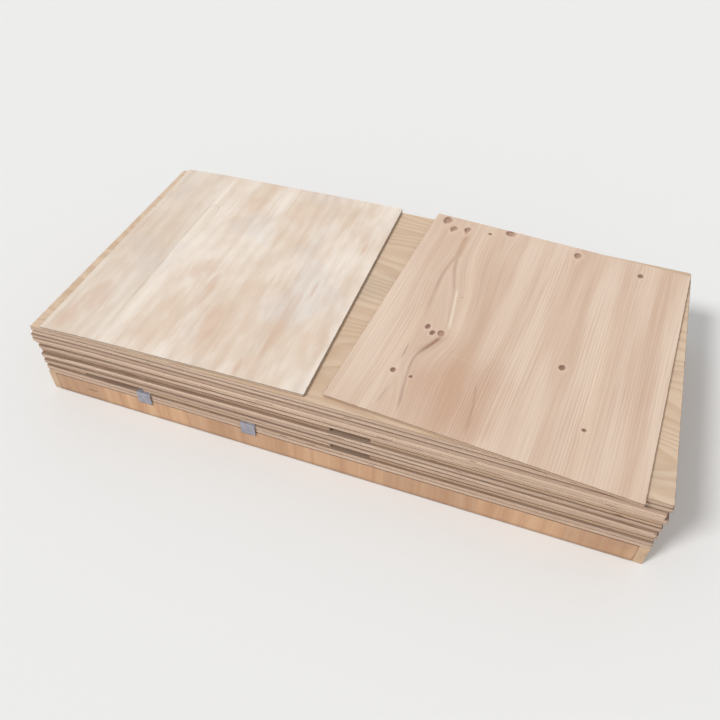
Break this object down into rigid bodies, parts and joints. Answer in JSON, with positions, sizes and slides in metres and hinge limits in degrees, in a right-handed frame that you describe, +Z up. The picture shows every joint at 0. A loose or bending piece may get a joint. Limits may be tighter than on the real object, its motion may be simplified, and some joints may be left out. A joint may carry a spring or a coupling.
{
  "type": "stack of plywood sheets",
  "caption": "Stack of plywood sheets in packs on a low plywood-sided base, kept apart by offcut panels, with a pale and a knotty shorter sheet laid flat on top.",
  "frame": {"origin": "on the floor under the middle of the base, on the middle cross rail's underside", "axes": "+X along the full sheets to the right as seen from the front, +Y to the back, +Z up"},
  "size_m": [2.4178, 1.2738, 0.3797],
  "materials": {
    "base_plywood": "raw orange-brown plywood strips, grain upright, weathered",
    "post_timber": "raw sawn pine posts, dusty",
    "sheet_plywood": "raw pine plywood, light and dark plies on rough sawn edges",
    "spacer_plywood": "raw plywood offcuts, rough edges",
    "clip_steel": "blue-grey coated sheet steel, dull",
    "pale_plywood": "pale blotchy sanded veneer, matt",
    "knotty_plywood": "knotty pine veneer with clear grain, matt"
  },
  "bodies": {
    "root": {"base_front_rail": "base_plywood", "base_back_rail": "base_plywood", "base_left_rail": "base_plywood", "base_right_rail": "base_plywood", "post_front_left": "post_timber", "post_front_right": "post_timber", "post_back_left": "post_timber", "post_back_right": "post_timber", "cross_rail_1": "base_plywood", "cross_rail_2": "base_plywood", "cross_rail_3": "base_plywood", "lower_sheet_1": "sheet_plywood", "lower_sheet_2": "sheet_plywood", "clip_left": "clip_steel", "clip_right": "clip_steel", "end_strip": "spacer_plywood", "low_spacer_left_bottom": "spacer_plywood", "low_spacer_left_top": "spacer_plywood", "low_spacer_right_bottom": "spacer_plywood", "low_spacer_right_top": "spacer_plywood", "middle_sheet_1": "sheet_plywood", "middle_sheet_2": "sheet_plywood", "middle_sheet_3": "sheet_plywood", "high_spacer_left_bottom": "spacer_plywood", "high_spacer_left_top": "spacer_plywood", "high_spacer_right_bottom": "spacer_plywood", "high_spacer_right_top": "spacer_plywood", "upper_sheet_1": "sheet_plywood", "upper_sheet_2": "sheet_plywood", "upper_sheet_3": "sheet_plywood", "upper_sheet_4": "sheet_plywood", "upper_sheet_5": "sheet_plywood", "upper_sheet_6": "sheet_plywood", "pale_sheet": "pale_plywood", "knotty_sheet": "knotty_plywood"}
  },
  "joints": []
}
